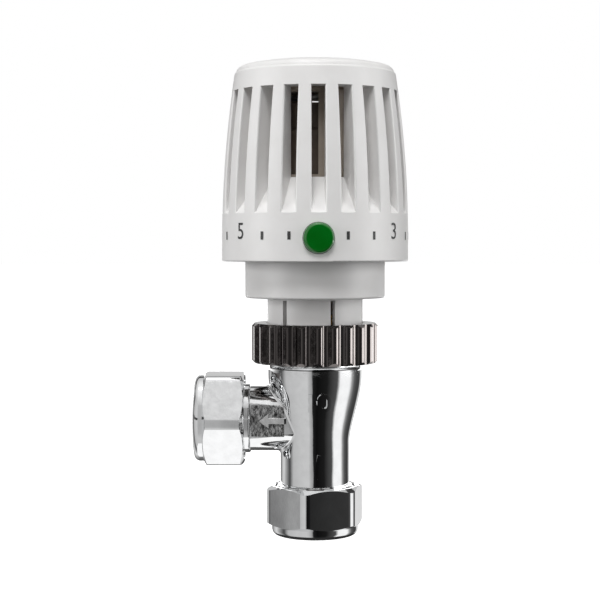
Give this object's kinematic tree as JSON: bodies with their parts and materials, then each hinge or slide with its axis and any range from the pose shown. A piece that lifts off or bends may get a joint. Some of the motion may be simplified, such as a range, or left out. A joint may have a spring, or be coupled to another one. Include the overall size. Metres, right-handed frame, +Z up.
{
  "type": "thermostatic radiator valve",
  "caption": "Angle-pattern radiator valve with a slotted white thermostatic handwheel, green limit button, knurled chrome union nut and compression nuts for 15 mm tube.",
  "frame": {"origin": "on the stem axis, at the mouth of the lower (inlet) compression nut", "axes": "+Z up the stem axis to the handwheel, -X out of the outlet branch, -Y towards the dial's front and the flow arrow"},
  "size_m": [0.0574, 0.0515, 0.127],
  "materials": {
    "chrome": "polished plating",
    "dark_chrome": "polished plating",
    "brass": "turned",
    "rubber": "moulded",
    "steel": "drawn",
    "white_plastic": "satin moulding",
    "taupe_plastic": "satin moulding",
    "grey_plastic": "satin moulding",
    "dark_plastic": "satin moulding",
    "green_plastic": "gloss moulding"
  },
  "bodies": {
    "valve": {"valve_body": "chrome", "headwork_body": "brass", "headwork_o_ring": "rubber", "gland_nut": "brass", "spindle_o_ring": "rubber", "return_spring": "steel", "head_base": "white_plastic"},
    "carriage": {"guide_sleeve": "taupe_plastic", "snap_ring": "steel", "overtravel_spring": "steel"},
    "element": {"sensor_cartridge": "dark_plastic", "spring_cup": "dark_plastic"},
    "stem": {"spindle": "steel", "spring_washer": "steel", "valve_disc": "brass", "seal_washer": "rubber", "disc_nut": "brass", "plunger": "grey_plastic", "sensor_pin": "steel"},
    "wheel": {"handwheel": "white_plastic", "top_cap": "white_plastic", "limit_pins": "grey_plastic", "button_spring": "steel"},
    "button": {"limit_button": "green_plastic"},
    "union_slip": {"slip_ring": "steel"},
    "union": {"union_nut": "dark_chrome"},
    "lower_ring": {"inlet_olive": "brass"},
    "lower_nut": {"inlet_nut": "chrome"},
    "branch_ring": {"outlet_olive": "brass"},
    "branch_nut": {"outlet_nut": "chrome"}
  },
  "joints": [
    {"name": "handwheel_travel", "type": "slide", "parent": "valve", "child": "carriage", "axis": [0, 0, 1], "range_m": [-0.0018, 0.00045]},
    {"name": "handwheel_turn", "type": "hinge", "parent": "carriage", "child": "wheel", "pos_m": [0, 0, 0.1], "axis": [0, 0, 1], "range_deg": [-216.5, 54.5]},
    {"name": "sensor_stroke", "type": "slide", "parent": "carriage", "child": "stem", "axis": [0, 0, 1], "range_m": [-0.001, 0], "stiffness_N_per_m": 5000, "deforming": ["return_spring"]},
    {"name": "overtravel_lift", "type": "slide", "parent": "carriage", "child": "element", "axis": [0, 0, 1], "range_m": [0, 0.0015], "stiffness_N_per_m": 10000, "deforming": ["overtravel_spring"]},
    {"name": "button_press", "type": "slide", "parent": "wheel", "child": "button", "axis": [-0.0384, 0.9993, 0], "range_m": [0, 0.0012], "stiffness_N_per_m": 1500, "deforming": ["button_spring"]},
    {"name": "union_travel", "type": "slide", "parent": "valve", "child": "union_slip", "axis": [0, 0, 1], "range_m": [0, 0.006]},
    {"name": "union_turn", "type": "hinge", "parent": "union_slip", "child": "union", "pos_m": [0, 0, 0.0513], "axis": [0, 0, 1], "range_deg": [-2, 1442]},
    {"name": "lower_travel", "type": "slide", "parent": "valve", "child": "lower_ring", "axis": [0, 0, -1], "range_m": [0, 0.00544]},
    {"name": "lower_nut_turn", "type": "hinge", "parent": "lower_ring", "child": "lower_nut", "pos_m": [0, 0, 0.007], "axis": [0, 0, -1], "range_deg": [-2, 1082]},
    {"name": "branch_travel", "type": "slide", "parent": "valve", "child": "branch_ring", "axis": [-1, 0, 0], "range_m": [0, 0.00544]},
    {"name": "branch_nut_turn", "type": "hinge", "parent": "branch_ring", "child": "branch_nut", "pos_m": [-0.0254, 0, 0.0314], "axis": [-1, 0, 0], "range_deg": [-2, 1082]}
  ],
  "couplings": [
    {"joint": "handwheel_turn", "follows": "handwheel_travel", "rad_per_m": 2094.4},
    {"joint": "union_turn", "follows": "union_travel", "rad_per_m": 4188.8},
    {"joint": "lower_nut_turn", "follows": "lower_travel", "rad_per_m": 3463.7},
    {"joint": "branch_nut_turn", "follows": "branch_travel", "rad_per_m": 3463.7}
  ]
}
